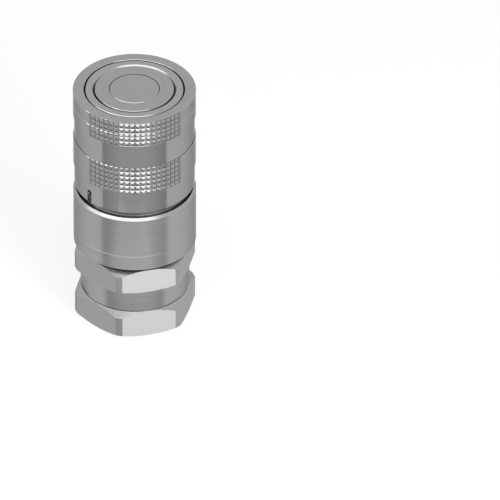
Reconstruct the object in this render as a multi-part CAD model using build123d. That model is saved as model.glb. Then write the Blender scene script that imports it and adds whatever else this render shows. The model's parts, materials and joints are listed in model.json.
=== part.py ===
from build123d import *
import os
from math import cos, pi, radians, sqrt, tan

# Flat face coupling, the socket half, for a 12.5 mm line.
# It stands upright on its port hexagon. Millimetres, +Z up, origin on the axis at the base.

os.makedirs("parts", exist_ok=True)

# Outside of the body and the locking sleeve
FLAT_DEPTH = 2.0
PORT_HEX_HEIGHT = 9.5
JOINT_GROOVE_HEIGHT = 0.4
JOINT_GROOVE_DEPTH = 0.6
NECK_RELIEF = 0.1
NECK_LENGTH = 6.9
BODY_HEX_HEIGHT = 8.6
UNDERCUT_LENGTH = 1.3
UNDERCUT_DEPTH = 1.5
REAR_BAND_LENGTH = 5.0
FRONT_BAND_LENGTH = 14.2
SHOULDER_CHAMFER = 0.75
SEAM_CHAMFER = 0.05
SLEEVE_LENGTH = 34.0

# Coned ends of the two hexagons: start radius inside the flats, and slope in degrees
BASE_CONE_START = 1.05
BASE_CONE_ANGLE = 25.0
TOP_CONE_ANGLE = 35.0
PORT_TOP_CONE_START = 0.2
BODY_TOP_CONE_START = 0.5

# How far the two sliding pieces travel from rest, and what is left before metal meets metal
FACE_TRAVEL = 10.0
SLEEVE_TRAVEL = 1.9
END_STOP_GAP = 0.2
TAIL_ROOM = 1.0

# Clearances
RUNNING_GAP = 0.08
FACE_GAP = 0.1
LOOSE_GAP = 0.4
SEAT_GAP = 0.1
BODY_SPIGOT_GAP = 0.05
SEAL_GAP = 0.04
BALL_GAP = 0.06
RELEASE_GAP = 0.19
SPRING_GAP = 0.165
WATERWAY_GAP = 0.72

# Small edges, and how far a cutter reaches past the metal it cuts
EDGE_BREAK = 0.12
CUT_OVERRUN = 1.0

# Port: G 1/2 thread, cut to its core size here
PORT_CORE_RADIUS = 9.32
PORT_THREAD_LENGTH = 14.0
PORT_ENTRY_CHAMFER = 1.3
FLOW_RADIUS = 8.0
FLOW_CONE_HEIGHT = 0.8

# Adapter spigot, screwed into the rear body
SPIGOT_RADIUS = 11.9
SPIGOT_LENGTH = 9.6
SPIGOT_CHAMFER = 0.5

# Rear body
WATERWAY_TOP_CONE = 0.7
BODY_SPIGOT_RADIUS = 14.95
BODY_SPIGOT_LENGTH = 10.2
BODY_SPIGOT_CHAMFER = 0.4

# Valve stem, spider, washer and nut
STEM_HEAD_RADIUS = 7.7
STEM_HEAD_GAP = 0.15
STEM_HEAD_HEIGHT = 5.5
STEM_CONE_HEIGHT = 6.0
STEM_ROD_RADIUS = 4.0
STEM_TAIL_RADIUS = 3.0
STEM_TAIL_PROUD = 0.7
SPIDER_THICKNESS = 4.0
SPIDER_HUB_RADIUS = 5.2
SPIDER_RIM_WIDTH = 2.1
SPIDER_ARM_WIDTH = 2.6
SPIDER_ARMS = 3
WASHER_RADIUS = 5.4
WASHER_THICKNESS = 0.8
NUT_ACROSS_FLATS = 10.0
NUT_HEIGHT = 3.6

# Face sleeve, the sliding ring that closes the front
FACE_RADIUS = 12.25
FACE_LAND_LENGTH = 15.8
FACE_FLANGE_PROUD = 0.75
FACE_FLANGE_LENGTH = 2.0
FACE_BORE_OVERRUN = 0.3
TAIL_RADIUS = 9.6
TAIL_WALL = 1.4

# Front body, the socket that carries the locking balls
BARREL_WALL = 2.85
BARREL_CHAMFER = 0.2
LAND_LENGTH = 6.1
MOUTH_CHAMFER = 0.65
BALL_RADIUS = 2.0
BALL_COUNT = 12
BALL_DEPTH = 8.5
STOP_RING_WIRE = 1.0
STOP_RING_DEPTH = 4.6
STOP_RING_PROUD = 0.7
STOP_RING_OPENING = 24.0
DETENT_BALL_RADIUS = 0.85
DETENT_BALL_SUNK = 0.6

# Locking sleeve, inside and outside
SLEEVE_WALL = 2.17
SPRING_CHAMBER_LENGTH = 18.0
LOCKING_LAND_GAP = 0.08
FRONT_LIP_LENGTH = 1.8
BAND_DEPTH = 0.34
GRIP_LENGTH = 8.85
NAME_BAND_LENGTH = 8.15
REAR_GRIP_LENGTH = 9.4
SLEEVE_CHAMFER = 0.2
SCRIBE_FROM_FRONT = 4.55
SCRIBE_DEPTH = 0.24
NOTCH_WIDTH = 1.85
NOTCH_HEIGHT = 4.5
NOTCH_ANGLE = -93.2

# Knurled grips: flat-topped pyramids in rows and columns on two opposite sides
KNURL_PITCH = 1.7
KNURL_DEPTH = 0.32
KNURL_CREST = 0.5
KNURL_COLUMNS = 18
KNURL_COLUMN_ANGLE = 360.0 / 70.0
KNURL_SIDES = 2
KNURL_CENTRE_ANGLE = -44.2
KNURL_FRONT_MARGIN = 0.45
KNURL_FRONT_GROOVES = 3
KNURL_SCRIBE_MARGIN = 0.77
KNURL_BACK_GROOVES = 3
KNURL_REAR_MARGIN = 1.58
KNURL_REAR_GROOVES = 5
CUT_PROUD = 0.03

# Springs
FACE_SPRING_WIRE = 1.8
FACE_SPRING_TURNS = 5.5
SLEEVE_SPRING_WIRE = 1.3
SLEEVE_SPRING_TURNS = 5.0

# Seals: section of each ring, and the backup rings beside three of them
STEM_SEAL_SECTION = 1.5
TAIL_SEAL_SECTION = 1.6
SOCKET_SEAL_SECTION = 1.5
BODY_SEAL_SECTION = 1.5
PORT_SEAL_SECTION = 1.6
BACKUP_THICKNESS = 0.9
STEM_SEAL_DEPTH = 1.25
TAIL_SEAL_LAND = 3.3
SOCKET_SEAL_LAND = 1.1
BODY_SEAL_LAND = 0.9
PORT_SEAL_LAND = 1.6

# Heights up the axis
PORT_HEX_TOP = PORT_HEX_HEIGHT
JOINT_FACE = PORT_HEX_TOP + JOINT_GROOVE_HEIGHT
NECK_TOP = JOINT_FACE + NECK_LENGTH
BODY_HEX_TOP = NECK_TOP + BODY_HEX_HEIGHT
REAR_BAND_BOTTOM = BODY_HEX_TOP + UNDERCUT_LENGTH
SEAM = REAR_BAND_BOTTOM + REAR_BAND_LENGTH
SHOULDER = SEAM + FRONT_BAND_LENGTH
SLEEVE_REAR = SHOULDER + SLEEVE_TRAVEL + END_STOP_GAP
FRONT = SLEEVE_REAR + SLEEVE_LENGTH
SPIGOT_END = JOINT_FACE + SPIGOT_LENGTH
SPIDER_TOP = SPIGOT_END + SPIDER_THICKNESS
BODY_SPIGOT_END = SEAM + BODY_SPIGOT_LENGTH
LAND_TOP = SHOULDER + LAND_LENGTH
FACE_FLANGE_TOP = FRONT - FACE_LAND_LENGTH
FACE_FLANGE_BOTTOM = FACE_FLANGE_TOP - FACE_FLANGE_LENGTH
FACE_TAIL_END = SPIDER_TOP + FACE_TRAVEL + TAIL_ROOM
FACE_STOP = FACE_FLANGE_TOP + SEAT_GAP
BALL_HEIGHT = FRONT - BALL_DEPTH
STOP_RING_HEIGHT = FRONT - STOP_RING_DEPTH
SLEEVE_INNER_STEP = SLEEVE_REAR + SPRING_CHAMBER_LENGTH
GRIP_BOTTOM = FRONT - GRIP_LENGTH
REAR_GRIP_TOP = GRIP_BOTTOM - NAME_BAND_LENGTH
REAR_GRIP_BOTTOM = REAR_GRIP_TOP - REAR_GRIP_LENGTH
SCRIBE_HEIGHT = FRONT - SCRIBE_FROM_FRONT

# Radii that follow from a neighbour, from the face sleeve out to the locking sleeve
MOUTH_RADIUS = FACE_RADIUS + FACE_GAP
FLANGE_RADIUS = FACE_RADIUS + FACE_FLANGE_PROUD
CHAMBER_RADIUS = FLANGE_RADIUS + RUNNING_GAP
BARREL_RADIUS = MOUTH_RADIUS + BARREL_WALL
SLEEVE_BORE_RADIUS = BARREL_RADIUS + SLEEVE_SPRING_WIRE + 2 * SPRING_GAP
LAND_RADIUS = SLEEVE_BORE_RADIUS - RUNNING_GAP
OUTER_RADIUS = SLEEVE_BORE_RADIUS + SLEEVE_WALL
BAND_RADIUS = OUTER_RADIUS - BAND_DEPTH
FLAT_RADIUS = OUTER_RADIUS - FLAT_DEPTH
NECK_RADIUS = FLAT_RADIUS - NECK_RELIEF
UNDERCUT_RADIUS = FLAT_RADIUS - UNDERCUT_DEPTH
LIP_RADIUS = BARREL_RADIUS + LOOSE_GAP
LOCKING_LAND_RADIUS = BARREL_RADIUS + LOCKING_LAND_GAP
BALL_CENTRE_RADIUS = FACE_RADIUS + BALL_GAP + BALL_RADIUS
RELEASE_RADIUS = BALL_CENTRE_RADIUS + BALL_RADIUS + RELEASE_GAP
BODY_BORE_RADIUS = SPIGOT_RADIUS + SEAT_GAP
COUNTERBORE_RADIUS = BODY_SPIGOT_RADIUS + BODY_SPIGOT_GAP
GUIDE_RADIUS = TAIL_RADIUS + RUNNING_GAP
WATERWAY_RADIUS = GUIDE_RADIUS + WATERWAY_GAP
FACE_BORE_RADIUS = STEM_HEAD_RADIUS + STEM_HEAD_GAP
DETENT_CENTRE_RADIUS = LAND_RADIUS + DETENT_BALL_RADIUS - DETENT_BALL_SUNK
DETENT_HEIGHT = SLEEVE_REAR + NOTCH_HEIGHT - SLEEVE_TRAVEL - DETENT_BALL_RADIUS - BALL_GAP


def turned(points):
    """A solid of revolution about Z from an outline of (radius, height) points."""
    return revolve(make_face(Polyline(*[(r, 0, z) for r, z in points], close=True)), Axis.Z)


def ring(inner, outer, bottom, top):
    """A plain ring of rectangular section."""
    return turned([(inner, bottom), (outer, bottom), (outer, top), (inner, top)])


def hexagon(bottom, top, bottom_start, top_start):
    """A wrench hexagon turned to the outer radius, with coned ends that start at two radii."""
    rise = (OUTER_RADIUS - bottom_start) * tan(radians(BASE_CONE_ANGLE))
    fall = (OUTER_RADIUS - top_start) * tan(radians(TOP_CONE_ANGLE))
    blank = turned([(0, bottom), (bottom_start, bottom), (OUTER_RADIUS, bottom + rise),
                    (OUTER_RADIUS, top - fall), (top_start, top), (0, top)])
    outline = Plane.XY.offset(bottom) * RegularPolygon(FLAT_RADIUS, 6, major_radius=False)
    return blank & extrude(outline, top - bottom)


def seal(inner, section, height):
    """A round-section seal whose inner radius and mid height are given."""
    return Pos(0, 0, height) * Torus(inner + section / 2, section / 2)


def seal_groove(running, section, backup):
    """Depth and length of the groove that holds a seal, with room for a backup ring."""
    room = section + 2 * SEAL_GAP
    length = section + 3 * SEAL_GAP + (BACKUP_THICKNESS + SEAL_GAP if backup else 0)
    return room - running, length


def port_adapter():
    """The port end: wrench hexagon, threaded port and the spigot that clamps the spider."""
    bottom_start = FLAT_RADIUS - BASE_CONE_START
    body = hexagon(0, PORT_HEX_TOP, bottom_start, FLAT_RADIUS - PORT_TOP_CONE_START)
    register = NECK_RADIUS - JOINT_GROOVE_DEPTH
    groove_depth, groove_length = seal_groove(SEAT_GAP, PORT_SEAL_SECTION, False)
    groove_top = SPIGOT_END - PORT_SEAL_LAND
    spigot = turned([
        (0, 0.5 * PORT_HEX_TOP), (register, 0.5 * PORT_HEX_TOP), (register, JOINT_FACE),
        (SPIGOT_RADIUS, JOINT_FACE),
        (SPIGOT_RADIUS, groove_top - groove_length),
        (SPIGOT_RADIUS - groove_depth, groove_top - groove_length),
        (SPIGOT_RADIUS - groove_depth, groove_top), (SPIGOT_RADIUS, groove_top),
        (SPIGOT_RADIUS, SPIGOT_END - SPIGOT_CHAMFER),
        (SPIGOT_RADIUS - SPIGOT_CHAMFER, SPIGOT_END), (0, SPIGOT_END)])
    bore = turned([
        (0, -CUT_OVERRUN),
        (PORT_CORE_RADIUS + PORT_ENTRY_CHAMFER + CUT_OVERRUN, -CUT_OVERRUN),
        (PORT_CORE_RADIUS, PORT_ENTRY_CHAMFER), (PORT_CORE_RADIUS, PORT_THREAD_LENGTH),
        (FLOW_RADIUS, PORT_THREAD_LENGTH + FLOW_CONE_HEIGHT),
        (FLOW_RADIUS, SPIGOT_END + CUT_OVERRUN), (0, SPIGOT_END + CUT_OVERRUN)])
    return body + spigot - bore


def port_joint_seal():
    """The seal in the adapter spigot's groove."""
    groove_depth, groove_length = seal_groove(SEAT_GAP, PORT_SEAL_SECTION, False)
    height = SPIGOT_END - PORT_SEAL_LAND - groove_length / 2
    return seal(SPIGOT_RADIUS - groove_depth + SEAL_GAP, PORT_SEAL_SECTION, height)


def rear_body():
    """Neck, wrench hexagon, undercut and rear band, with the guide bore for the face sleeve."""
    outer_depth, outer_length = seal_groove(BODY_SPIGOT_GAP, BODY_SEAL_SECTION, False)
    outer_top = BODY_SPIGOT_END - BODY_SEAL_LAND
    inner_depth, inner_length = seal_groove(RUNNING_GAP, TAIL_SEAL_SECTION, True)
    inner_top = BODY_SPIGOT_END - TAIL_SEAL_LAND
    turning = turned([
        (BODY_BORE_RADIUS, JOINT_FACE), (NECK_RADIUS, JOINT_FACE),
        (NECK_RADIUS, NECK_TOP + CUT_OVERRUN), (UNDERCUT_RADIUS, NECK_TOP + CUT_OVERRUN),
        (UNDERCUT_RADIUS, REAR_BAND_BOTTOM),
        (OUTER_RADIUS - EDGE_BREAK, REAR_BAND_BOTTOM),
        (OUTER_RADIUS, REAR_BAND_BOTTOM + EDGE_BREAK), (OUTER_RADIUS, SEAM - SEAM_CHAMFER),
        (OUTER_RADIUS - SEAM_CHAMFER, SEAM), (BODY_SPIGOT_RADIUS, SEAM),
        (BODY_SPIGOT_RADIUS, outer_top - outer_length),
        (BODY_SPIGOT_RADIUS - outer_depth, outer_top - outer_length),
        (BODY_SPIGOT_RADIUS - outer_depth, outer_top), (BODY_SPIGOT_RADIUS, outer_top),
        (BODY_SPIGOT_RADIUS, BODY_SPIGOT_END - BODY_SPIGOT_CHAMFER),
        (BODY_SPIGOT_RADIUS - BODY_SPIGOT_CHAMFER, BODY_SPIGOT_END),
        (GUIDE_RADIUS + EDGE_BREAK, BODY_SPIGOT_END), (GUIDE_RADIUS, BODY_SPIGOT_END - EDGE_BREAK),
        (GUIDE_RADIUS, inner_top), (GUIDE_RADIUS + inner_depth, inner_top),
        (GUIDE_RADIUS + inner_depth, inner_top - inner_length),
        (GUIDE_RADIUS, inner_top - inner_length), (GUIDE_RADIUS, SEAM + WATERWAY_TOP_CONE),
        (WATERWAY_RADIUS, SEAM), (WATERWAY_RADIUS, SPIDER_TOP),
        (BODY_BORE_RADIUS, SPIDER_TOP)])
    wrench = hexagon(NECK_TOP, BODY_HEX_TOP, NECK_RADIUS, FLAT_RADIUS - BODY_TOP_CONE_START)
    bore = turned([(0, NECK_TOP - CUT_OVERRUN), (BODY_BORE_RADIUS, NECK_TOP - CUT_OVERRUN),
                   (BODY_BORE_RADIUS, SPIDER_TOP), (WATERWAY_RADIUS, SPIDER_TOP),
                   (WATERWAY_RADIUS, BODY_HEX_TOP + CUT_OVERRUN),
                   (0, BODY_HEX_TOP + CUT_OVERRUN)])
    return turning + (wrench - bore)


def body_joint_seal():
    """The seal between the rear body's spigot and the front body."""
    depth, length = seal_groove(BODY_SPIGOT_GAP, BODY_SEAL_SECTION, False)
    height = BODY_SPIGOT_END - BODY_SEAL_LAND - length / 2
    return seal(BODY_SPIGOT_RADIUS - depth + SEAL_GAP, BODY_SEAL_SECTION, height)


def tail_seal():
    """The seal in the guide bore, round the face sleeve's tail."""
    top = BODY_SPIGOT_END - TAIL_SEAL_LAND
    return seal(GUIDE_RADIUS - RUNNING_GAP + SEAL_GAP, TAIL_SEAL_SECTION,
                top - SEAL_GAP - TAIL_SEAL_SECTION / 2)


def tail_backup_ring():
    """The stiff ring on the dry side of the tail seal."""
    depth, length = seal_groove(RUNNING_GAP, TAIL_SEAL_SECTION, True)
    bottom = BODY_SPIGOT_END - TAIL_SEAL_LAND - length + SEAL_GAP
    return ring(TAIL_RADIUS + SEAL_GAP, GUIDE_RADIUS + depth - SEAL_GAP,
                bottom, bottom + BACKUP_THICKNESS)


def front_body():
    """The socket: front band, guide land for the locking sleeve, and the barrel with its balls."""
    depth, length = seal_groove(FACE_GAP, SOCKET_SEAL_SECTION, True)
    seal_bottom = FACE_STOP + SOCKET_SEAL_LAND
    ring_root = BARREL_RADIUS + STOP_RING_PROUD - STOP_RING_WIRE - SEAL_GAP
    ring_half = STOP_RING_WIRE / 2 + SEAL_GAP
    body = turned([
        (COUNTERBORE_RADIUS, SEAM), (OUTER_RADIUS - SEAM_CHAMFER, SEAM),
        (OUTER_RADIUS, SEAM + SEAM_CHAMFER), (OUTER_RADIUS, SHOULDER - SHOULDER_CHAMFER),
        (OUTER_RADIUS - SHOULDER_CHAMFER, SHOULDER), (LAND_RADIUS, SHOULDER),
        (LAND_RADIUS, LAND_TOP), (BARREL_RADIUS, LAND_TOP),
        (BARREL_RADIUS, STOP_RING_HEIGHT - ring_half), (ring_root, STOP_RING_HEIGHT - ring_half),
        (ring_root, STOP_RING_HEIGHT + ring_half), (BARREL_RADIUS, STOP_RING_HEIGHT + ring_half),
        (BARREL_RADIUS, FRONT - BARREL_CHAMFER), (BARREL_RADIUS - BARREL_CHAMFER, FRONT),
        (MOUTH_RADIUS + MOUTH_CHAMFER, FRONT), (MOUTH_RADIUS, FRONT - MOUTH_CHAMFER),
        (MOUTH_RADIUS, seal_bottom + length), (MOUTH_RADIUS + depth, seal_bottom + length),
        (MOUTH_RADIUS + depth, seal_bottom), (MOUTH_RADIUS, seal_bottom),
        (MOUTH_RADIUS, FACE_STOP), (CHAMBER_RADIUS, FACE_STOP),
        (CHAMBER_RADIUS, BODY_SPIGOT_END + SEAT_GAP),
        (COUNTERBORE_RADIUS, BODY_SPIGOT_END + SEAT_GAP)])
    hole = Rot(0, 90, 0) * Cylinder(BALL_RADIUS + BALL_GAP, OUTER_RADIUS,
                                    align=(Align.CENTER, Align.CENTER, Align.MIN))
    holes = [Pos(0, 0, BALL_HEIGHT) * Rot(0, 0, angle) * hole for angle in ball_angles()]
    return body - holes - detent_place() * Sphere(DETENT_BALL_RADIUS + SEAL_GAP)


def ball_angles():
    """Directions of the locking balls round the barrel, in degrees."""
    return [360.0 * (number + 0.5) / BALL_COUNT for number in range(BALL_COUNT)]


def locking_balls():
    """All the locking balls, each in its hole and held out by the face sleeve."""
    ball = Pos(BALL_CENTRE_RADIUS, 0, BALL_HEIGHT) * Sphere(BALL_RADIUS)
    return Compound(children=[Rot(0, 0, angle) * ball for angle in ball_angles()])


def detent_place():
    """Where the small detent ball sits, in the sleeve's notch."""
    return Rot(0, 0, NOTCH_ANGLE) * Pos(DETENT_CENTRE_RADIUS, 0, DETENT_HEIGHT)


def detent_ball():
    """The small ball in the guide land that keys the locking sleeve."""
    return detent_place() * Sphere(DETENT_BALL_RADIUS)


def sleeve_stop_ring():
    """The split wire ring that stops the locking sleeve from coming off the front."""
    centre = BARREL_RADIUS + STOP_RING_PROUD - STOP_RING_WIRE / 2
    wire = Plane.XZ * Pos(centre, STOP_RING_HEIGHT) * Circle(STOP_RING_WIRE / 2)
    return Rot(0, 0, STOP_RING_OPENING / 2) * revolve(wire, Axis.Z, 360.0 - STOP_RING_OPENING)


def socket_seal():
    """The seal in the socket bore, which grips the face sleeve and later the plug's nose."""
    return seal(MOUTH_RADIUS - FACE_GAP + SEAL_GAP, SOCKET_SEAL_SECTION,
                FACE_STOP + SOCKET_SEAL_LAND + SEAL_GAP + SOCKET_SEAL_SECTION / 2)


def socket_backup_ring():
    """The stiff ring on the outer side of the socket seal."""
    depth, length = seal_groove(FACE_GAP, SOCKET_SEAL_SECTION, True)
    top = FACE_STOP + SOCKET_SEAL_LAND + length - SEAL_GAP
    return ring(FACE_RADIUS + SEAL_GAP, MOUTH_RADIUS + depth - SEAL_GAP,
                top - BACKUP_THICKNESS, top)


def face_sleeve():
    """The spring-loaded ring between stem head and socket, with its flange and long tail."""
    depth, length = seal_groove(STEM_HEAD_GAP, STEM_SEAL_SECTION, True)
    seal_top = FRONT - STEM_SEAL_DEPTH
    bore_end = FRONT - STEM_HEAD_HEIGHT - FACE_BORE_OVERRUN
    tail_bore = TAIL_RADIUS - TAIL_WALL
    return turned([
        (tail_bore, FACE_TAIL_END), (TAIL_RADIUS - 2 * EDGE_BREAK, FACE_TAIL_END),
        (TAIL_RADIUS, FACE_TAIL_END + 2 * EDGE_BREAK), (TAIL_RADIUS, FACE_FLANGE_BOTTOM),
        (FLANGE_RADIUS, FACE_FLANGE_BOTTOM), (FLANGE_RADIUS, FACE_FLANGE_TOP),
        (FACE_RADIUS, FACE_FLANGE_TOP), (FACE_RADIUS, FRONT - EDGE_BREAK),
        (FACE_RADIUS - EDGE_BREAK, FRONT), (FACE_BORE_RADIUS, FRONT),
        (FACE_BORE_RADIUS, seal_top), (FACE_BORE_RADIUS + depth, seal_top),
        (FACE_BORE_RADIUS + depth, seal_top - length), (FACE_BORE_RADIUS, seal_top - length),
        (FACE_BORE_RADIUS, bore_end), (tail_bore, bore_end - TAIL_WALL)])


def stem_seal():
    """The seal inside the face sleeve, round the stem's head."""
    return seal(STEM_HEAD_RADIUS + SEAL_GAP, STEM_SEAL_SECTION,
                FRONT - STEM_SEAL_DEPTH - SEAL_GAP - STEM_SEAL_SECTION / 2)


def stem_backup_ring():
    """The stiff ring behind the stem seal."""
    depth, length = seal_groove(STEM_HEAD_GAP, STEM_SEAL_SECTION, True)
    bottom = FRONT - STEM_SEAL_DEPTH - length + SEAL_GAP
    return ring(STEM_HEAD_RADIUS + SEAL_GAP, FACE_BORE_RADIUS + depth - SEAL_GAP,
                bottom, bottom + BACKUP_THICKNESS)


def valve_stem():
    """The fixed stem: flat head flush with the front, cone, rod and screwed tail."""
    head_bottom = FRONT - STEM_HEAD_HEIGHT
    tail_end = SPIGOT_END - WASHER_THICKNESS - NUT_HEIGHT - STEM_TAIL_PROUD
    return turned([
        (0, tail_end), (STEM_TAIL_RADIUS - 2 * EDGE_BREAK, tail_end),
        (STEM_TAIL_RADIUS, tail_end + 2 * EDGE_BREAK), (STEM_TAIL_RADIUS, SPIDER_TOP),
        (STEM_ROD_RADIUS, SPIDER_TOP), (STEM_ROD_RADIUS, head_bottom - STEM_CONE_HEIGHT),
        (STEM_HEAD_RADIUS, head_bottom), (STEM_HEAD_RADIUS, FRONT - EDGE_BREAK),
        (STEM_HEAD_RADIUS - EDGE_BREAK, FRONT), (0, FRONT)])


def stem_spider():
    """The disc that carries the stem: a rim clamped in the body, three arms and a hub."""
    disc = ring(STEM_TAIL_RADIUS + RUNNING_GAP, SPIGOT_RADIUS, SPIGOT_END, SPIDER_TOP)
    passage = ring(SPIDER_HUB_RADIUS, SPIGOT_RADIUS - SPIDER_RIM_WIDTH,
                   SPIGOT_END - CUT_OVERRUN, SPIDER_TOP + CUT_OVERRUN)
    arm = Pos(SPIGOT_RADIUS / 2, 0, SPIGOT_END + SPIDER_THICKNESS / 2) * Box(
        SPIGOT_RADIUS, SPIDER_ARM_WIDTH, SPIDER_THICKNESS + 4 * CUT_OVERRUN)
    arms = [Rot(0, 0, 360.0 * number / SPIDER_ARMS) * arm for number in range(SPIDER_ARMS)]
    return disc - (passage - arms)


def stem_washer():
    """The washer between the nut and the spider."""
    return ring(STEM_TAIL_RADIUS + RUNNING_GAP, WASHER_RADIUS,
                SPIGOT_END - WASHER_THICKNESS, SPIGOT_END)


def stem_nut():
    """The nut that holds the stem in its spider."""
    top = SPIGOT_END - WASHER_THICKNESS
    outline = RegularPolygon(NUT_ACROSS_FLATS / 2, 6, major_radius=False)
    outline -= Circle(STEM_TAIL_RADIUS + SEAL_GAP)
    nut = extrude(Plane.XY.offset(top - NUT_HEIGHT) * outline, NUT_HEIGHT)
    corner = NUT_ACROSS_FLATS / 2 / cos(pi / 6)
    cone = turned([(0, top - NUT_HEIGHT), (NUT_ACROSS_FLATS / 2, top - NUT_HEIGHT),
                   (corner, top - NUT_HEIGHT + (corner - NUT_ACROSS_FLATS / 2) * tan(pi / 6)),
                   (corner, top), (0, top)])
    return nut & cone


def coil(mean_radius, wire, turns, bottom, top):
    """A compression spring with both ends ground flat between two heights."""
    height = top - bottom
    path = Pos(0, 0, bottom) * Helix(height / turns, height, mean_radius)
    section = Plane(path @ 0, z_dir=path % 0) * Circle(wire / 2)
    slab = Pos(0, 0, (bottom + top) / 2) * Cylinder(mean_radius + wire, height)
    return sweep(section, path=path, is_frenet=True) & slab


def face_spring():
    """The strong spring behind the face sleeve's flange."""
    mean = (TAIL_RADIUS + CHAMBER_RADIUS) / 2
    return coil(mean, FACE_SPRING_WIRE, FACE_SPRING_TURNS, BODY_SPIGOT_END, FACE_FLANGE_BOTTOM)


def sleeve_spring():
    """The spring that pushes the locking sleeve forward."""
    mean = (BARREL_RADIUS + SLEEVE_BORE_RADIUS) / 2
    return coil(mean, SLEEVE_SPRING_WIRE, SLEEVE_SPRING_TURNS, LAND_TOP, SLEEVE_INNER_STEP)


def release_ramp_bottom():
    """Height at which the 45 degree release ramp starts, so that it rests on the balls."""
    reach = sqrt(2) * (BALL_RADIUS + BALL_GAP) - (LOCKING_LAND_RADIUS - BALL_CENTRE_RADIUS)
    return BALL_HEIGHT - reach


def knurl_bands():
    """Height of the highest groove of each knurled band, and the number of its grooves."""
    return [(FRONT - KNURL_FRONT_MARGIN, KNURL_FRONT_GROOVES),
            (SCRIBE_HEIGHT - KNURL_SCRIBE_MARGIN, KNURL_BACK_GROOVES),
            (REAR_GRIP_TOP - KNURL_REAR_MARGIN, KNURL_REAR_GROOVES)]


def knurl_rows():
    """The grooves that run round the sleeve, over the knurled sides only."""
    spread = KNURL_COLUMNS * KNURL_COLUMN_ANGLE
    half = (KNURL_PITCH - KNURL_CREST) / 2 * (KNURL_DEPTH + CUT_PROUD) / KNURL_DEPTH
    cuts = []
    for top, grooves in knurl_bands():
        for number in range(grooves):
            z = top - number * KNURL_PITCH
            outline = Polyline((OUTER_RADIUS - KNURL_DEPTH, 0, z),
                               (OUTER_RADIUS + CUT_PROUD, 0, z + half),
                               (OUTER_RADIUS + CUT_PROUD, 0, z - half), close=True)
            groove = revolve(make_face(outline), Axis.Z, spread)
            cuts += [Rot(0, 0, angle - spread / 2) * groove for angle in knurl_centres()]
    return cuts


def knurl_columns():
    """The grooves that run along both grips, from one end of each grip to the other."""
    pitch = OUTER_RADIUS * radians(KNURL_COLUMN_ANGLE)
    half = (pitch - KNURL_CREST) / 2 * (KNURL_DEPTH + CUT_PROUD) / KNURL_DEPTH
    outline = make_face(Polyline((OUTER_RADIUS - KNURL_DEPTH, 0, 0),
                                 (OUTER_RADIUS + CUT_PROUD, half, 0),
                                 (OUTER_RADIUS + CUT_PROUD, -half, 0), close=True))
    length = FRONT - REAR_GRIP_BOTTOM + 2 * CUT_OVERRUN
    groove = Pos(0, 0, REAR_GRIP_BOTTOM - CUT_OVERRUN) * extrude(outline, length)
    offsets = [(number - KNURL_COLUMNS / 2) * KNURL_COLUMN_ANGLE
               for number in range(KNURL_COLUMNS + 1)]
    return [Rot(0, 0, centre + offset) * groove
            for centre in knurl_centres() for offset in offsets]


def knurl_centres():
    """Directions of the middle of each knurled side, in degrees."""
    return [KNURL_CENTRE_ANGLE + 360.0 * side / KNURL_SIDES for side in range(KNURL_SIDES)]


def notch():
    """The keyway in the sleeve's rear edge, with a round end."""
    radius = NOTCH_WIDTH / 2
    straight = NOTCH_HEIGHT - radius
    depth = SLEEVE_WALL + 2 * CUT_OVERRUN
    middle = SLEEVE_BORE_RADIUS + SLEEVE_WALL / 2
    slot = Pos(middle, 0, SLEEVE_REAR + (straight - CUT_OVERRUN) / 2) * Box(
        depth, NOTCH_WIDTH, straight + CUT_OVERRUN)
    end = Pos(middle, 0, SLEEVE_REAR + straight) * Rot(0, 90, 0) * Cylinder(radius, depth)
    return Rot(0, 0, NOTCH_ANGLE) * (slot + end)


def locking_sleeve():
    """The outer sleeve: grips and plain bands outside, spring chamber and ball groove inside."""
    ramp = release_ramp_bottom()
    sleeve = turned([
        (SLEEVE_BORE_RADIUS, SLEEVE_REAR), (BAND_RADIUS - EDGE_BREAK, SLEEVE_REAR),
        (BAND_RADIUS, SLEEVE_REAR + EDGE_BREAK), (BAND_RADIUS, REAR_GRIP_BOTTOM - BAND_DEPTH),
        (OUTER_RADIUS, REAR_GRIP_BOTTOM), (OUTER_RADIUS, REAR_GRIP_TOP - SLEEVE_CHAMFER),
        (OUTER_RADIUS - SLEEVE_CHAMFER, REAR_GRIP_TOP), (BAND_RADIUS, REAR_GRIP_TOP),
        (BAND_RADIUS, GRIP_BOTTOM), (OUTER_RADIUS - EDGE_BREAK, GRIP_BOTTOM),
        (OUTER_RADIUS, GRIP_BOTTOM + EDGE_BREAK),
        (OUTER_RADIUS, SCRIBE_HEIGHT - SCRIBE_DEPTH),
        (OUTER_RADIUS - SCRIBE_DEPTH, SCRIBE_HEIGHT),
        (OUTER_RADIUS, SCRIBE_HEIGHT + SCRIBE_DEPTH),
        (OUTER_RADIUS, FRONT - SLEEVE_CHAMFER), (OUTER_RADIUS - SLEEVE_CHAMFER, FRONT),
        (LIP_RADIUS + EDGE_BREAK, FRONT), (LIP_RADIUS, FRONT - EDGE_BREAK),
        (LIP_RADIUS, FRONT - FRONT_LIP_LENGTH), (RELEASE_RADIUS, FRONT - FRONT_LIP_LENGTH),
        (RELEASE_RADIUS, ramp + RELEASE_RADIUS - LOCKING_LAND_RADIUS),
        (LOCKING_LAND_RADIUS, ramp),
        (LOCKING_LAND_RADIUS, SLEEVE_INNER_STEP), (SLEEVE_BORE_RADIUS, SLEEVE_INNER_STEP)])
    return (sleeve - notch() - knurl_rows()) - knurl_columns()


PIECES = [port_adapter, port_joint_seal, rear_body, body_joint_seal, tail_seal, tail_backup_ring,
          front_body, locking_balls, detent_ball, sleeve_stop_ring, socket_seal,
          socket_backup_ring, face_sleeve, stem_seal, stem_backup_ring, valve_stem, stem_spider,
          stem_washer, stem_nut, face_spring, sleeve_spring, locking_sleeve]

for piece in PIECES:
    export_step(piece(), f"parts/{piece.__name__}.step")
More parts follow.
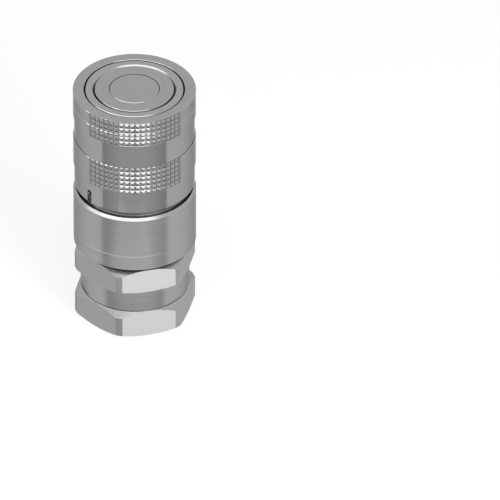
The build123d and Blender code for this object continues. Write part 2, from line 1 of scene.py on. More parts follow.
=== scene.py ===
"""Looks of the socket half of a flat face coupling: finishes, port thread, springs and studio.

Everything is in metres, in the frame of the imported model: +Z runs up the coupling's axis towards
the flat front, and the coupling stands on its port hexagon.
"""

import json
import logging
from dataclasses import dataclass
from enum import Enum
from functools import reduce
from math import cos, pi, radians, sin
from typing import Any, Union

import bmesh
import bpy
import numpy as np
from mathutils import Matrix, Vector


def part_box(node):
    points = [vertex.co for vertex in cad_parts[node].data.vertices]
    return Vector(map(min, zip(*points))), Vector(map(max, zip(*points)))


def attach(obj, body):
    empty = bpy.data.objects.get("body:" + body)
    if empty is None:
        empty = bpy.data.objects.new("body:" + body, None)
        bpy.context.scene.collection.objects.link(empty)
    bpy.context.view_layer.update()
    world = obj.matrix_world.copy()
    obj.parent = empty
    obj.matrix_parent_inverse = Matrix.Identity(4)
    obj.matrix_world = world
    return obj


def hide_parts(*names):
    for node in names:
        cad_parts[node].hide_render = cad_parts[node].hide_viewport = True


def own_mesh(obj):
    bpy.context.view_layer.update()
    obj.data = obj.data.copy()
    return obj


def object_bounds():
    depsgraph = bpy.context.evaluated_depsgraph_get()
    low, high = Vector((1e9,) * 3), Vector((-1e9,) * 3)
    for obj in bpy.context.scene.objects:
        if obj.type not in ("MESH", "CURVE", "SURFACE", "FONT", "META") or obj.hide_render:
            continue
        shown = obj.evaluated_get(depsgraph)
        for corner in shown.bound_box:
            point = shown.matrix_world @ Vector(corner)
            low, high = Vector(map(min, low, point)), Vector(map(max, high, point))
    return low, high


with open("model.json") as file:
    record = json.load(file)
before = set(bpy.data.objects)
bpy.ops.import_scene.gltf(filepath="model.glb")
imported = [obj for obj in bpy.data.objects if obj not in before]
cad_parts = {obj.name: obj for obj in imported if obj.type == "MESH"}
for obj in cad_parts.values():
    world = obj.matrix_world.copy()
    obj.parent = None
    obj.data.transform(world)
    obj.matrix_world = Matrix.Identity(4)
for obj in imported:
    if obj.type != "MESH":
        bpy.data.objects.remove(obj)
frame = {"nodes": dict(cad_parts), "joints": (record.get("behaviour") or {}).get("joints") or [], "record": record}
CAD_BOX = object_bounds()
MM = 0.001

# The camera looks from between +X and -Y and from above, both in degrees
CAMERA_SIDE = 45.0
CAMERA_ELEVATION = 35.264

log = logging.getLogger("coupling")

Colour = tuple[float, float, float]
Number = Union[float, "Value"]


class Value:
    """A number carried by a node's socket, on which arithmetic adds Math nodes."""

    def __init__(self, graph: "Graph", socket: bpy.types.NodeSocket) -> None:
        """Keeps the graph that new nodes go to, and the socket that carries the number."""
        self.graph = graph
        self.socket = socket

    def _math(self, operation: str, first: Number, second: Number = 0.0) -> "Value":
        """Adds a Math node.

        Args:
            operation: the Math node's operation.
            first: its first number.
            second: its second number, unused by operations on one number.

        Returns:
            The node's result.
        """
        return self.graph.value("ShaderNodeMath", {"operation": operation}, {0: first, 1: second})

    def __add__(self, other: Number) -> "Value":
        """Sum."""
        return self._math("ADD", self, other)

    def __radd__(self, other: Number) -> "Value":
        """Sum, the other way round."""
        return self._math("ADD", other, self)

    def __sub__(self, other: Number) -> "Value":
        """Difference."""
        return self._math("SUBTRACT", self, other)

    def __rsub__(self, other: Number) -> "Value":
        """Difference, the other way round."""
        return self._math("SUBTRACT", other, self)

    def __mul__(self, other: Number) -> "Value":
        """Product."""
        return self._math("MULTIPLY", self, other)

    def __rmul__(self, other: Number) -> "Value":
        """Product, the other way round."""
        return self._math("MULTIPLY", other, self)

    def __truediv__(self, other: Number) -> "Value":
        """Quotient."""
        return self._math("DIVIDE", self, other)

    def __rtruediv__(self, other: Number) -> "Value":
        """Quotient, the other way round."""
        return self._math("DIVIDE", other, self)

    def __pow__(self, other: Number) -> "Value":
        """Power."""
        return self._math("POWER", self, other)

    def __abs__(self) -> "Value":
        """Size without its sign."""
        return self._math("ABSOLUTE", self)

    def larger(self, other: Number) -> "Value":
        """The larger of two numbers."""
        return self._math("MAXIMUM", self, other)

    def ramp(self, start: float, end: float) -> "Value":
        """A straight rise from 0 where this number is start to 1 where it is end, held outside."""
        return self.graph.value("ShaderNodeMapRange", {"clamp": True},
                                {"Value": self, "From Min": start, "From Max": end})

    def within(self, low: float, high: float, edge: float) -> "Value":
        """1 where this number is from low to high, with a straight fall to 0 over edge outside."""
        half = (high - low) / 2
        return 1.0 - abs(self - (high + low) / 2).ramp(half, half + edge)


class Graph:
    """A node tree, with one method that adds any node."""

    def __init__(self, tree: bpy.types.NodeTree) -> None:
        """Empties the tree and keeps it."""
        self.tree = tree
        tree.nodes.clear()

    def node(self, kind: str, settings: dict[str, Any] | None = None,
             inputs: dict[Any, Any] | None = None) -> bpy.types.Node:
        """Adds a node.

        Args:
            kind: the node's type.
            settings: its properties, set first.
            inputs: for each socket, by name or place, its value or what is linked to it.

        Returns:
            The new node.
        """
        made = self.tree.nodes.new(kind)
        for name, setting in (settings or {}).items():
            setattr(made, name, setting)
        for name, content in (inputs or {}).items():
            if isinstance(content, Value):
                self.tree.links.new(content.socket, made.inputs[name])
            elif isinstance(content, bpy.types.NodeSocket):
                self.tree.links.new(content, made.inputs[name])
            else:
                made.inputs[name].default_value = content
        return made

    def value(self, kind: str, settings: dict[str, Any] | None = None,
              inputs: dict[Any, Any] | None = None, output: Any = 0) -> Value:
        """Adds a node as node() does, and returns one of its outputs as a number."""
        return Value(self, self.node(kind, settings, inputs).outputs[output])

    def place(self) -> tuple[Value, Value, Value]:
        """The shaded point's place.

        Returns:
            Its x, y and z in the frame, in metres.
        """
        point = self.node("ShaderNodeTexCoord").outputs["Object"]
        parts = self.node("ShaderNodeSeparateXYZ", None, {0: point}).outputs
        return Value(self, parts[0]), Value(self, parts[1]), Value(self, parts[2])

    def vector(self, x: Number, y: Number, z: Number) -> bpy.types.NodeSocket:
        """A vector from three numbers."""
        return self.node("ShaderNodeCombineXYZ", None, {0: x, 1: y, 2: z}).outputs[0]

    def noise(self, vector: bpy.types.NodeSocket, detail: float, share: float = 0.55) -> Value:
        """Smooth noise about 0.5, with features about one unit across.

        Args:
            vector: what it runs over.
            detail: how many finer layers lie on it.
            share: strength of each finer layer, as a share of the one before.

        Returns:
            The noise.
        """
        return self.value("ShaderNodeTexNoise", None, {
            "Vector": vector, "Scale": 1.0, "Detail": detail, "Roughness": share})

    def bump(self, height: Value, depth: float) -> bpy.types.NodeSocket:
        """A normal bumped by a height from 0 to 1, whose 1 stands depth above its 0."""
        return self.node("ShaderNodeBump", None,
                         {"Strength": 1.0, "Distance": depth, "Height": height}).outputs[0]

    def surface(self, inputs: dict[str, Any]) -> None:
        """Ends a material in the Principled shader with these inputs."""
        shader = self.node("ShaderNodeBsdfPrincipled", None, inputs)
        self.node("ShaderNodeOutputMaterial", None, {"Surface": shader.outputs[0]})

    def blend(self, factor: Number, first: Any, second: Any) -> bpy.types.NodeSocket:
        """Mixes two colours: the first where the factor is 0, the second where it is 1."""
        # A Mix node takes its two colours at inputs 6 and 7, and gives their mix at output 2
        mixed = self.node("ShaderNodeMix", {"data_type": "RGBA"}, {0: factor, 6: first, 7: second})
        return mixed.outputs[2]


class Marks(Enum):
    """How a tool leaves its marks on a steel surface."""

    TURNED = "rings about the axis"
    DRAWN = "streaks along the wire"
    TUMBLED = "no direction"


@dataclass(frozen=True)
class WrenchFlats:
    """The flats of the hexagons, which are milled after turning and left rougher.

    Attributes:
        reach: distance of each flat from the axis.
        bands: lowest and highest height of each hexagon.
        colour: their grey.
        roughness: their roughness.
        lines: spacing of the milling lines.
        unevenness: how much the roughness varies with the milling lines.
        tolerance: how far from a flat its finish still reaches.
        directions: where the flats' normals point, in degrees, one for each opposite pair.
    """

    reach: float
    bands: tuple[tuple[float, float], ...]
    colour: Colour
    roughness: float
    lines: float = 0.45 * MM
    unevenness: float = 0.1
    tolerance: float = 0.03 * MM
    directions: tuple[float, ...] = (30.0, 90.0, 150.0)

    def mask(self, graph: Graph) -> Value:
        """Finds the flats from each point's distance along their normals.

        Args:
            graph: the material's node tree.

        Returns:
            1 on the flats and 0 elsewhere.
        """
        x, y, z = graph.place()
        reach = reduce(Value.larger, [abs(x * cos(radians(angle)) + y * sin(radians(angle)))
                                      for angle in self.directions])
        near = reach.within(self.reach - self.tolerance, self.reach + self.tolerance,
                            self.tolerance)
        inside = reduce(Value.larger, [
            z.within(low - self.tolerance, high + self.tolerance, self.tolerance)
            for low, high in self.bands])
        return near * inside


@dataclass(frozen=True)
class PaintedGapShade:
    """Painted shade in the body's narrow gaps, where shadow falls: behind the sleeve and above the hexagon.

    Attributes:
        gaps: for each gap, its lowest and highest height, and its inner and outer radius.
        darkening: share of the metal's grey that the painted shade takes away.
        edge: width over which the painted shade fades out.
    """

    gaps: tuple[tuple[float, float, float, float], ...]
    darkening: float = 0.65
    edge: float = 0.2 * MM

    def mask(self, graph: Graph) -> Value:
        """Finds the gaps from each point's height and distance from the axis.

        Args:
            graph: the material's node tree.

        Returns:
            1 in the gaps and 0 elsewhere.
        """
        x, y, z = graph.place()
        radius = (x * x + y * y) ** 0.5
        # Painted shade: 1 in the gaps where shadow falls, 0 elsewhere
        return reduce(Value.larger, [
            z.within(low, high, self.edge) * radius.within(inner, outer, self.edge)
            for low, high, inner, outer in self.gaps])


@dataclass(frozen=True)
class Steel:
    """A steel surface with its tool marks.

    Attributes:
        slot: the record's material slot.
        colour: the metal's grey.
        roughness: the middle roughness.
        marks: how the tool left its marks.
        pitch: spacing of the fine marks.
        depth: height of the fine marks.
        swirl: how many fine marks a ring drifts across in a quarter turn.
        broad: how many times as wide as the fine marks the broad ones are.
        broad_swirl: how many broad marks a ring drifts across in a quarter turn.
        shades: the noise at which a broad mark is darkest, and at which it is lightest.
        streaks: share by which the darkest and lightest broad marks differ from the grey.
        unevenness: how much the roughness varies with the broad marks, and with the fine ones.
        edge_tint: how much of the reflection is left where the surface turns away.
        flats: the milled flats, where the piece has some.
        painted_gap_shade: painted shade in its narrow gaps, where the piece has some.
    """

    slot: str
    colour: Colour
    roughness: float
    marks: Marks = Marks.TURNED
    pitch: float = 0.14 * MM
    depth: float = 0.0015 * MM
    swirl: float = 1.5
    broad: float = 9.0
    broad_swirl: float = 0.6
    shades: tuple[float, float] = (0.3, 0.7)
    streaks: float = 0.025
    unevenness: tuple[float, float] = (0.06, 0.05)
    edge_tint: Colour = (0.5, 0.5, 0.5)
    flats: WrenchFlats | None = None
    painted_gap_shade: PaintedGapShade | None = None

    def _pattern(self, graph: Graph, spacing: float, swirl: float) -> bpy.types.NodeSocket:
        """Coordinates in which the marks are noise.

        Rings about the axis are noise over radius and height alone. A little of the direction
        round the axis is added, so that no ring is the same all the way round.

        Args:
            graph: the material's node tree.
            spacing: distance between marks.
            swirl: how many marks a ring drifts across in a quarter turn.

        Returns:
            The pattern's coordinates.
        """
        x, y, z = graph.place()
        if self.marks is Marks.TUMBLED:
            return graph.vector(x / spacing, y / spacing, z / spacing)
        radius = (x * x + y * y) ** 0.5
        east, north = x / radius, y / radius
        if self.marks is Marks.DRAWN:
            return graph.vector(radius / spacing, z / spacing, east + north)
        return graph.vector(radius / spacing + east * swirl, z / spacing + north * swirl, 0.0)

    def material(self) -> bpy.types.Material:
        """Makes the finish.

        Returns:
            The finish as a Blender material.
        """
        made = new_material(self.slot)
        graph = Graph(made.node_tree)
        fine = graph.noise(self._pattern(graph, self.pitch, self.swirl), detail=1.0)
        broad = graph.noise(self._pattern(graph, self.broad * self.pitch, self.broad_swirl),
                            detail=3.0)
        dark = tuple(c * (1.0 - self.streaks) for c in self.colour)
        light = tuple(c * (1.0 + self.streaks) for c in self.colour)
        shade = graph.blend(broad.ramp(*self.shades), (*dark, 1.0), (*light, 1.0))
        with_broad, with_fine = self.unevenness
        rough = self.roughness + (broad - 0.5) * with_broad + (fine - 0.5) * with_fine
        height = fine
        if self.flats is not None:
            mask = self.flats.mask(graph)
            z = graph.place()[2]
            milled = graph.noise(graph.vector(z / self.flats.lines, 0.0, 0.0), detail=2.0)
            shade = graph.blend(mask, shade, (*self.flats.colour, 1.0))
            flat_rough = self.flats.roughness + (milled - 0.5) * self.flats.unevenness
            rough = rough + mask * (flat_rough - rough)
            height = height + mask * (milled - height)
        # Painted shade: the grey is darkened in the body's narrow gaps, where shadow falls
        if self.painted_gap_shade is not None:
            shaded_grey = tuple(c * (1.0 - self.painted_gap_shade.darkening) for c in self.colour)
            shade = graph.blend(self.painted_gap_shade.mask(graph), shade, (*shaded_grey, 1.0))
        graph.surface({"Metallic": 1.0, "Base Color": shade, "Roughness": rough,
                       "Specular Tint": (*self.edge_tint, 1.0),
                       "Normal": graph.bump(height, self.depth)})
        return made


@dataclass(frozen=True)
class Moulded:
    """A moulded rubber or plastic surface, with fine grain whose tops carry a painted sheen.

    Attributes:
        slot: the record's material slot.
        colour: its colour.
        roughness: the middle roughness.
        grain: size of the grain.
        depth: height of the grain.
        painted_sheen: how many times as light the painted highlight on the grain's tops is as its bottom.
        unevenness: how much the roughness varies with the grain.
    """

    slot: str
    colour: Colour
    roughness: float
    grain: float = 0.25 * MM
    depth: float = 0.004 * MM
    painted_sheen: float = 1.25
    unevenness: float = 0.2

    def material(self) -> bpy.types.Material:
        """Makes the finish.

        Returns:
            The finish as a Blender material.
        """
        made = new_material(self.slot)
        graph = Graph(made.node_tree)
        x, y, z = graph.place()
        place = graph.vector(x / self.grain, y / self.grain, z / self.grain)
        grain = graph.noise(place, detail=3.0)
        # Painted sheen: the tops of the grain are painted lighter than its bottoms, as if they caught the light
        light = tuple(min(1.0, c * self.painted_sheen) for c in self.colour)
        shade = graph.blend(grain, (*self.colour, 1.0), (*light, 1.0))
        graph.surface({"Base Color": shade,
                       "Roughness": self.roughness + (grain - 0.5) * self.unevenness,
                       "Normal": graph.bump(grain, self.depth)})
        return made


def new_material(name: str) -> bpy.types.Material:
    """Makes an empty node material.

    Args:
        name: the material's name.

    Returns:
        The new material.
    """
    made = bpy.data.materials.new(name)
    made.use_nodes = True
    return made


def dress(piece: bpy.types.Object, material: bpy.types.Material) -> None:
    """Gives a piece one material, in all the slots that it has or in a new one.

    Args:
        piece: the piece.
        material: its material.
    """
    if not piece.material_slots:
        piece.data.materials.append(material)
    for place in piece.material_slots:
        place.material = material


def mesh_object(name: str, points: np.ndarray, faces: np.ndarray) -> bpy.types.Object:
    """Makes a mesh object in the scene.

    Args:
        name: the piece's name.
        points: an array of corners, one row each.
        faces: an array of corner numbers, one row for each face.

    Returns:
        The new object, at the origin.
    """
    mesh = bpy.data.meshes.new(name)
    mesh.from_pydata(points.tolist(), [], faces.tolist())
    mesh.validate()
    made = bpy.data.objects.new(name, mesh)
    bpy.context.scene.collection.objects.link(made)
    return made


def merged_copy(node: str, name: str) -> bpy.types.Object:
    """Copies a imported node's mesh and joins the corners of its loose triangles.

    Corners are rounded to a tenth of a micrometre, and equal rows become one corner.

    Args:
        node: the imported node.
        name: the copy's name.

    Returns:
        The copy, as a new object.
    """
    mesh = frame["nodes"][node].data
    points = np.empty(len(mesh.vertices) * 3)
    mesh.vertices.foreach_get("co", points)
    corners = np.empty(len(mesh.loops), dtype=np.int64)
    mesh.loops.foreach_get("vertex_index", corners)
    rounded = np.round(points.reshape(-1, 3), 7)
    unique, place = np.unique(rounded, axis=0, return_inverse=True)
    triangles = place.reshape(-1)[corners].reshape(-1, 3)
    first, second, third = triangles.T
    whole = (first != second) & (second != third) & (third != first)
    return mesh_object(name, unique, triangles[whole])


def smooth(piece: bpy.types.Object, angle: float) -> None:
    """Shades a piece smooth, but for its sharp edges.

    Args:
        piece: the piece.
        angle: degrees between two faces past which their edge stays sharp.
    """
    mesh = piece.data
    mesh.polygons.foreach_set("use_smooth", np.ones(len(mesh.polygons), dtype=bool))
    mesh.set_sharp_from_angle(angle=radians(angle))


@dataclass(frozen=True)
class PortThread:
    """The female parallel pipe thread of the port, cut into a copy of the adapter.

    Attributes:
        pitch: distance from turn to turn.
        core: radius of the bore, which is the thread's crest.
        depth: how far the thread's root lies behind its crest.
        start: turn at which the cut begins, below the base.
        top: height at which the full thread ends.
        runout: turns over which the cut fades out at the top.
        least: share of the depth that is left at the very end.
        flank: how much the groove widens to each side for each unit of depth.
        rounding: size of the root's rounded corners, as a share of half the pitch.
        root: heights of the root's four corners, in sizes of the rounding.
        inset: how far inside the bore the cutter's inner edge runs.
        steps: points in one turn.
        sharp: degrees between two faces past which their edge stays sharp.
        slot: the record's material slot.
    """

    pitch: float = 25.4 * MM / 14
    core: float = 9.32 * MM
    depth: float = 1.10 * MM
    start: float = -1.5
    top: float = 12.6 * MM
    runout: float = 0.6
    least: float = 0.02
    flank: float = 0.5206
    rounding: float = 0.16
    root: tuple[float, ...] = (1.2, 0.5, -0.5, -1.2)
    inset: float = 0.08 * MM
    steps: int = 72
    sharp: float = 20.0
    slot: str = "milled_steel"

    def cutter(self) -> bpy.types.Object:
        """Builds the closed helical cutter.

        A six-sided groove section is carried along a helix of radius core. At turn t its middle
        is at height t times the pitch. Its reach past the bore is the depth times the sine of
        the share of the runout that is left, as a share of a quarter turn. Its inner edge stays
        just inside the bore. Both ends are closed by their own section.

        Returns:
            The cutter as an object.
        """
        turns = self.top / self.pitch - self.start
        count = int(turns * self.steps) + 1
        turn = self.start + np.linspace(0.0, turns, count)
        left = (turn[-1] - turn) / self.runout
        reach = self.depth * np.sin(np.clip(left, self.least, 1.0) * pi / 2)
        angle = turn * 2 * pi
        corner = self.pitch / 2 * self.rounding
        inner = np.full(count, -self.inset)
        outward = np.stack([inner, inner, reach - corner, reach, reach, reach - corner], axis=1)
        half_mouth = (reach + self.inset) * self.flank + corner
        root = [np.full(count, place * corner) for place in self.root]
        up = np.stack([-half_mouth, half_mouth, *root], axis=1)
        radius = self.core + outward
        height = (turn * self.pitch)[:, None] + up
        points = np.stack([radius * np.cos(angle)[:, None], radius * np.sin(angle)[:, None],
                           height], axis=2).reshape(-1, 3)
        sides = outward.shape[1]
        along = np.arange(count - 1)[:, None] * sides
        here = np.arange(sides)[None, :]
        after = (here + 1) % sides
        quads = np.stack([along + here, along + after, along + sides + after,
                          along + sides + here], axis=2).reshape(-1, 4)
        made = mesh_object("thread_cutter", points, quads)
        self._close_ends(made, sides, count)
        return made

    @staticmethod
    def _close_ends(cutter: bpy.types.Object, sides: int, count: int) -> None:
        """Closes the two ends of the cutter and turns all its faces outwards.

        Args:
            cutter: the cutter, open at both ends.
            sides: corners of its section.
            count: sections along it.
        """
        work = bmesh.new()
        work.from_mesh(cutter.data)
        work.verts.ensure_lookup_table()
        work.faces.new([work.verts[i] for i in range(sides)])
        last = (count - 1) * sides
        work.faces.new([work.verts[last + i] for i in range(sides)])
        bmesh.ops.triangulate(work, faces=work.faces[:])
        bmesh.ops.recalc_face_normals(work, faces=work.faces[:])
        work.to_mesh(cutter.data)
        work.free()

    def build(self) -> bpy.types.Object:
        """Cuts the thread into a copy of the adapter.

        Returns:
            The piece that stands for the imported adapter.
        """
        adapter = merged_copy("port_adapter", "port_adapter_threaded")
        cutter = self.cutter()
        cut = adapter.modifiers.new("thread", "BOOLEAN")
        cut.operation = "DIFFERENCE"
        cut.solver = "EXACT"
        cut.object = cutter
        ready = adapter.evaluated_get(bpy.context.evaluated_depsgraph_get())
        mesh = bpy.data.meshes.new_from_object(ready)
        adapter.modifiers.clear()
        adapter.data = mesh
        bpy.data.objects.remove(cutter)
        smooth(adapter, self.sharp)
        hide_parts("port_adapter")
        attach(adapter, "body")
        return adapter


@dataclass(frozen=True)
class CoilSpring:
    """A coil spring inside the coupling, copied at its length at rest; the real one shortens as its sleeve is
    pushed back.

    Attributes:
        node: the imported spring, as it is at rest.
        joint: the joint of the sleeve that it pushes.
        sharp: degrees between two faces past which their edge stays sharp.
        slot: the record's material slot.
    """

    node: str
    joint: str
    sharp: float = 40.0
    slot: str = "spring_steel"

    def build(self) -> bpy.types.Object:
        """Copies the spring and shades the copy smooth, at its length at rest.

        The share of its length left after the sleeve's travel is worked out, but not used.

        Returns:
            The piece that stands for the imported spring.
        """
        low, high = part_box(self.node)
        length = high[2] - low[2]
        joint = next(each for each in frame["joints"] if each["name"] == self.joint)
        travel = max(abs(limit) for limit in joint["range_m"])
        spring = merged_copy(self.node, self.node + "_coil")
        smooth(spring, self.sharp)
        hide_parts(self.node)
        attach(spring, "body")
        1.0 - travel / length
        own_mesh(spring)
        return spring


class Facing(Enum):
    """Where a lamp's front looks."""

    CENTRE = "at the middle of the coupling"
    DOWN = "straight down"
    UP = "straight up"


@dataclass(frozen=True)
class SoftBox:
    """A rectangular lamp with a white front, placed from the middle of the coupling.

    Attributes:
        name: its name.
        right: metres to the right of the camera's side.
        front: metres towards the camera's side.
        above: metres above the middle of the coupling.
        width: its width.
        depth: its other side.
        level: brightness of its front, where 1 is white.
        facing: where its front looks.
    """

    name: str
    right: float
    front: float
    above: float
    width: float
    depth: float
    level: float
    facing: Facing = Facing.CENTRE

    def build(self, centre: Vector) -> None:
        """Hangs the lamp.

        A lamp's power in watts is its brightness times pi times the area of its front.

        Args:
            centre: the middle of the coupling.
        """
        data = bpy.data.lights.new(self.name, "AREA")
        data.shape = "RECTANGLE"
        data.size = self.width
        data.size_y = self.depth
        data.energy = self.level * pi * self.width * self.depth
        lamp = bpy.data.objects.new(self.name, data)
        towards, aside, upright = direction(0.0, 0.0), direction(90.0, 0.0), direction(0.0, 90.0)
        offset = aside * self.right + towards * self.front + upright * self.above
        back = {Facing.CENTRE: offset.normalized(), Facing.DOWN: upright,
                Facing.UP: -upright}[self.facing]
        reference = upright if self.facing is Facing.CENTRE else towards
        across = reference.cross(back).normalized()
        turn = Matrix((-across, back.cross(-across), back)).transposed().to_4x4()
        lamp.matrix_world = Matrix.Translation(centre + offset) @ turn
        lamp.visible_camera = False
        bpy.context.scene.collection.objects.link(lamp)


def direction(azimuth: float, elevation: float) -> Vector:
    """A unit vector at an azimuth, to the right of the camera's side, and an elevation.

    Args:
        azimuth: degrees to the right.
        elevation: degrees above level.

    Returns:
        The vector.
    """
    around = radians(azimuth - CAMERA_SIDE)
    up = radians(elevation)
    return Vector((cos(around) * cos(up), sin(around) * cos(up), sin(up)))


@dataclass
class Studio:
    """Camera, floor, lamps and surroundings.

    Attributes:
        lens: focal length of the camera, long so that the view is nearly parallel.
        sensor: width of its sensor.
        view_width: width of the picture at the coupling.
        aim_right: place of the picture's middle to the right of the coupling's axis.
        aim_up: place of the picture's middle along the picture's upright, from the origin.
        true_depth: how far before the origin a thing is drawn at its true width.
        near_clip: nearest distance that the camera sees.
        far_clip: furthest distance that it sees, as a multiple of its own distance.
        floor_radius: radius of the floor.
        floor_sides: sides of the floor's rim.
        floor_cloth: the floor's own colour, on which the shadow falls.
        floor_white: share of plain white in the floor, which the shadow doesn't reach.
        ambient: level of the surroundings for rough surfaces.
        dark_reach: how far to each side of the camera the darker floor reaches, in degrees.
        dark_edge: half the width of its side edges, in cosines.
        dark_horizon: sine of the angle below the horizon at which it is fully dark.
        dark_level: level of the darker floor at its side edges.
        dark_rise: how much lighter it is in the camera's direction.
        dark_middle: cosine of the angle within which it is at its lightest.
        boxes: the lamps.
    """

    lens: float = 1650.0
    sensor: float = 36.0
    view_width: float = 154.725 * MM
    aim_right: float = 35.67 * MM
    aim_up: float = 17.163 * MM
    true_depth: float = 23.7 * MM
    near_clip: float = 0.1
    far_clip: float = 4.0
    floor_radius: float = 3.0
    floor_sides: int = 96
    floor_cloth: Colour = (0.9, 0.9, 0.9)
    floor_white: float = 0.8
    ambient: float = 0.55
    dark_reach: float = 64.0
    dark_edge: float = 0.015
    dark_horizon: float = 0.15
    dark_level: float = 0.48
    dark_rise: float = 0.26
    dark_middle: float = 0.9
    boxes: tuple[SoftBox, ...] = (
        SoftBox("top_panel", -0.12, 0.44, 0.60, 1.00, 0.48, 1.8, Facing.DOWN),
        SoftBox("front_box", 0.0, 0.95, 0.32, 0.92, 0.24, 2.0),
        SoftBox("left_box", -0.50, 0.12, 0.42, 0.44, 0.26, 1.4),
        SoftBox("low_strip", 0.42, 0.67, 0.10, 0.36, 0.10, 128.0),
        SoftBox("floor_card", -0.006, 0.0625, -0.040, 0.068, 0.042, 0.21, Facing.UP),
    )

    def camera(self) -> None:
        """Places the camera at the picture's viewing angle.

        Its distance is the view's width times the lens over the sensor's width, so the picture
        is as wide as the view at the coupling.
        """
        data = bpy.data.cameras.new("camera")
        data.lens = self.lens
        data.sensor_width = self.sensor
        back = direction(0.0, CAMERA_ELEVATION)
        right = Vector((0.0, 0.0, 1.0)).cross(back).normalized()
        upright = back.cross(right)
        distance = self.view_width * self.lens / self.sensor
        data.clip_start = self.near_clip
        data.clip_end = self.far_clip * distance
        camera = bpy.data.objects.new("camera", data)
        aim = right * self.aim_right + upright * self.aim_up
        away = back * (self.true_depth + distance)
        camera.matrix_world = Matrix.Translation(aim + away) @ Matrix(
            (right, upright, back)).transposed().to_4x4()
        bpy.context.scene.collection.objects.link(camera)
        bpy.context.scene.camera = camera

    def floor(self) -> None:
        """Lays the round floor: white to the camera, with the coupling's shadow on it.

        The floor is a fan of triangles on a circle. From below it can be seen through, and metal
        mirrors the surroundings in its place.
        """
        count = self.floor_sides
        angle = np.arange(count) * 2 * pi / count
        rim = np.stack([np.cos(angle), np.sin(angle), 0 * angle], axis=1) * self.floor_radius
        points = np.vstack([np.zeros((1, 3)), rim])
        here = np.arange(count)
        faces = np.stack([0 * here, 1 + here, 1 + (here + 1) % count], axis=1)
        piece = mesh_object("floor", points, faces)
        made = new_material("floor_white")
        graph = Graph(made.node_tree)
        path = graph.node("ShaderNodeLightPath")
        seen = Value(graph, path.outputs["Is Camera Ray"])
        cloth = graph.node("ShaderNodeBsdfDiffuse", None, {"Color": (*self.floor_cloth, 1.0)})
        white = graph.node("ShaderNodeEmission", None, {"Strength": 1.0})
        lit = graph.node("ShaderNodeMixShader", None, {
            0: seen * self.floor_white, 1: cloth.outputs[0], 2: white.outputs[0]})
        clear = graph.node("ShaderNodeBsdfTransparent")
        side = graph.value("ShaderNodeNewGeometry", output="Backfacing")
        both = graph.node("ShaderNodeMixShader", None,
                          {0: side, 1: lit.outputs[0], 2: clear.outputs[0]})
        graph.node("ShaderNodeOutputMaterial", None, {"Surface": both.outputs[0]})
        dress(piece, made)
        piece.visible_glossy = False

    def surroundings(self) -> None:
        """Sets the white surroundings.

        The camera sees white, and so does metal, but for the floor in front of the coupling,
        which is darker within a reach to each side of the camera and darkest at its two edges.
        Rough surfaces see the ambient level all round. The small number under the root keeps
        the division safe straight up and straight down.
        """
        world = bpy.data.worlds.new("studio")
        bpy.context.scene.world = world
        world.use_nodes = True
        graph = Graph(world.node_tree)
        sky = graph.node("ShaderNodeTexCoord").outputs["Generated"]
        parts = graph.node("ShaderNodeSeparateXYZ", None, {0: sky}).outputs
        x, y, z = (Value(graph, part) for part in parts)
        flat = (x * x + y * y + 1e-6) ** 0.5
        towards = direction(0.0, 0.0)
        facing = (x * towards.x + y * towards.y) / flat
        edge = cos(radians(self.dark_reach))
        front = facing.ramp(edge - self.dark_edge, edge + self.dark_edge)
        below = (0.0 - z).ramp(0.0, self.dark_horizon)
        level = self.dark_level + self.dark_rise * facing.ramp(edge, self.dark_middle)
        metal = 1.0 - front * below * (1.0 - level)
        path = graph.node("ShaderNodeLightPath")
        seen = Value(graph, path.outputs["Is Camera Ray"])
        glossy = Value(graph, path.outputs["Is Glossy Ray"])
        plain = self.ambient * (1.0 - seen) * (1.0 - glossy)
        strength = seen + (1.0 - seen) * glossy * metal + plain
        background = graph.node("ShaderNodeBackground", None,
                                {"Color": (1.0, 1.0, 1.0, 1.0), "Strength": strength})
        graph.node("ShaderNodeOutputWorld", None, {"Surface": background.outputs[0]})

    def build(self) -> None:
        """Sets up the whole studio."""
        bpy.context.scene.view_settings.view_transform = "Standard"
        self.camera()
        self.floor()
        self.surroundings()
        low, high = CAD_BOX
        for box in self.boxes:
            box.build((low + high) / 2)


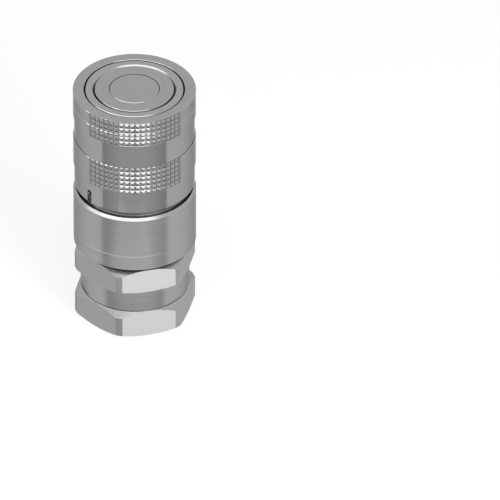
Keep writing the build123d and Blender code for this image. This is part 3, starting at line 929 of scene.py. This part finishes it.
@dataclass
class Finishes:
    """The coupling's finishes, made once each.

    Attributes:
        warm_grey: the grey of the sleeves.
        light_grey: the grey of the body and the adapter.
        flat_grey: the grey of the hexagons' flats.
        turned: roughness of the body and the adapter.
        milled: roughness of the hexagons' flats.
        port_hexagon: lowest and highest height of the port hexagon.
        body_hexagon: lowest and highest height of the body's hexagon.
        sleeve_gap: height from the body's shoulder up to the sleeve.
        shoulder_shade_radii: inner and outer radius of the painted shade on the shoulder's rim.
        shoulder_shade_reach: how far below and above the shoulder that painted shade reaches.
        hexagon_shade_box: lowest and highest height of the painted shade on the hexagon, and its two radii.
    """

    warm_grey: Colour = (0.345, 0.340, 0.337)
    light_grey: Colour = (0.360, 0.355, 0.352)
    flat_grey: Colour = (0.367, 0.362, 0.359)
    turned: float = 0.24
    milled: float = 0.5
    port_hexagon: tuple[float, float] = (0.0, 9.5 * MM)
    body_hexagon: tuple[float, float] = (16.8 * MM, 25.4 * MM)
    sleeve_gap: float = 2.1 * MM
    # Painted shade: where shadow falls in the body's gaps, under the sleeve and under the band above the hexagon
    shoulder_shade_radii: tuple[float, float] = (17.2 * MM, 18.05 * MM)
    shoulder_shade_reach: tuple[float, float] = (0.05 * MM, 0.1 * MM)
    hexagon_shade_box: tuple[float, float, float, float] = (25.0 * MM, 26.7 * MM, 15.2 * MM, 17.6 * MM)

    def flats(self) -> WrenchFlats:
        """The flats of both hexagons.

        The adapter's box reaches the flats along Y.

        Returns:
            The flats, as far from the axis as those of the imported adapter.
        """
        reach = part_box("port_adapter")[1][1]
        return WrenchFlats(reach, (self.port_hexagon, self.body_hexagon), self.flat_grey,
                           self.milled)

    def painted_gap_shade(self) -> PaintedGapShade:
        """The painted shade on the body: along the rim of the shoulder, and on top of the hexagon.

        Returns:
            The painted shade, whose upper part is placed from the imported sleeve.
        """
        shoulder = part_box("locking_sleeve")[0][2] - self.sleeve_gap
        below, above = self.shoulder_shade_reach
        return PaintedGapShade(((shoulder - below, shoulder + above, *self.shoulder_shade_radii),
                        self.hexagon_shade_box))

    def build(self) -> dict[str, bpy.types.Material]:
        """Makes every finish.

        Returns:
            For each material slot of the record, its material.
        """
        flats = self.flats()
        finishes = [
            Steel("sleeve_steel", self.warm_grey, 0.12),
            Steel("body_steel", self.light_grey, self.turned, flats=flats, painted_gap_shade=self.painted_gap_shade()),
            Steel("milled_steel", self.light_grey, self.turned, flats=flats),
            Steel("face_steel", self.warm_grey, 0.15),
            Steel("ball_steel", (0.55, 0.55, 0.56), 0.08, Marks.TUMBLED, depth=0.0003 * MM),
            Steel("spring_steel", (0.25, 0.25, 0.26), 0.32, Marks.DRAWN),
            Moulded("seal_rubber", (0.012, 0.012, 0.013), 0.45),
            Moulded("backup_plastic", (0.70, 0.68, 0.62), 0.40),
        ]
        return {finish.slot: finish.material() for finish in finishes}


@dataclass
class Coupling:
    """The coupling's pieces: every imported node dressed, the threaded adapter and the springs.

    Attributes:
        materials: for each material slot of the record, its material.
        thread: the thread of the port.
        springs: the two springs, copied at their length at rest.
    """

    materials: dict[str, bpy.types.Material]
    thread: PortThread = PortThread()
    springs: tuple[CoilSpring, ...] = (CoilSpring("face_spring", "face_slide"),
                                       CoilSpring("sleeve_spring", "sleeve_slide"))

    def dress_nodes(self) -> None:
        """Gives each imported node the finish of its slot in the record."""
        for part in frame["record"]["subparts"]:
            node = frame["nodes"][part["node"]]
            dress(node, self.materials[part["material_slot"]])
            log.info("%s wears %s", part["node"], part["material_slot"])

    def build(self) -> None:
        """Dresses the nodes and adds the threaded adapter and the springs."""
        self.dress_nodes()
        for maker in (self.thread, *self.springs):
            piece = maker.build()
            dress(piece, self.materials[maker.slot])
            log.info("%s has %d faces", piece.name, len(piece.data.polygons))


def main() -> None:
    """Builds the studio, the finishes and the coupling, in that order."""
    logging.basicConfig(level=logging.INFO, format="%(name)s: %(message)s")
    Studio().build()
    Coupling(Finishes().build()).build()


if __name__ == "__main__":
    main()
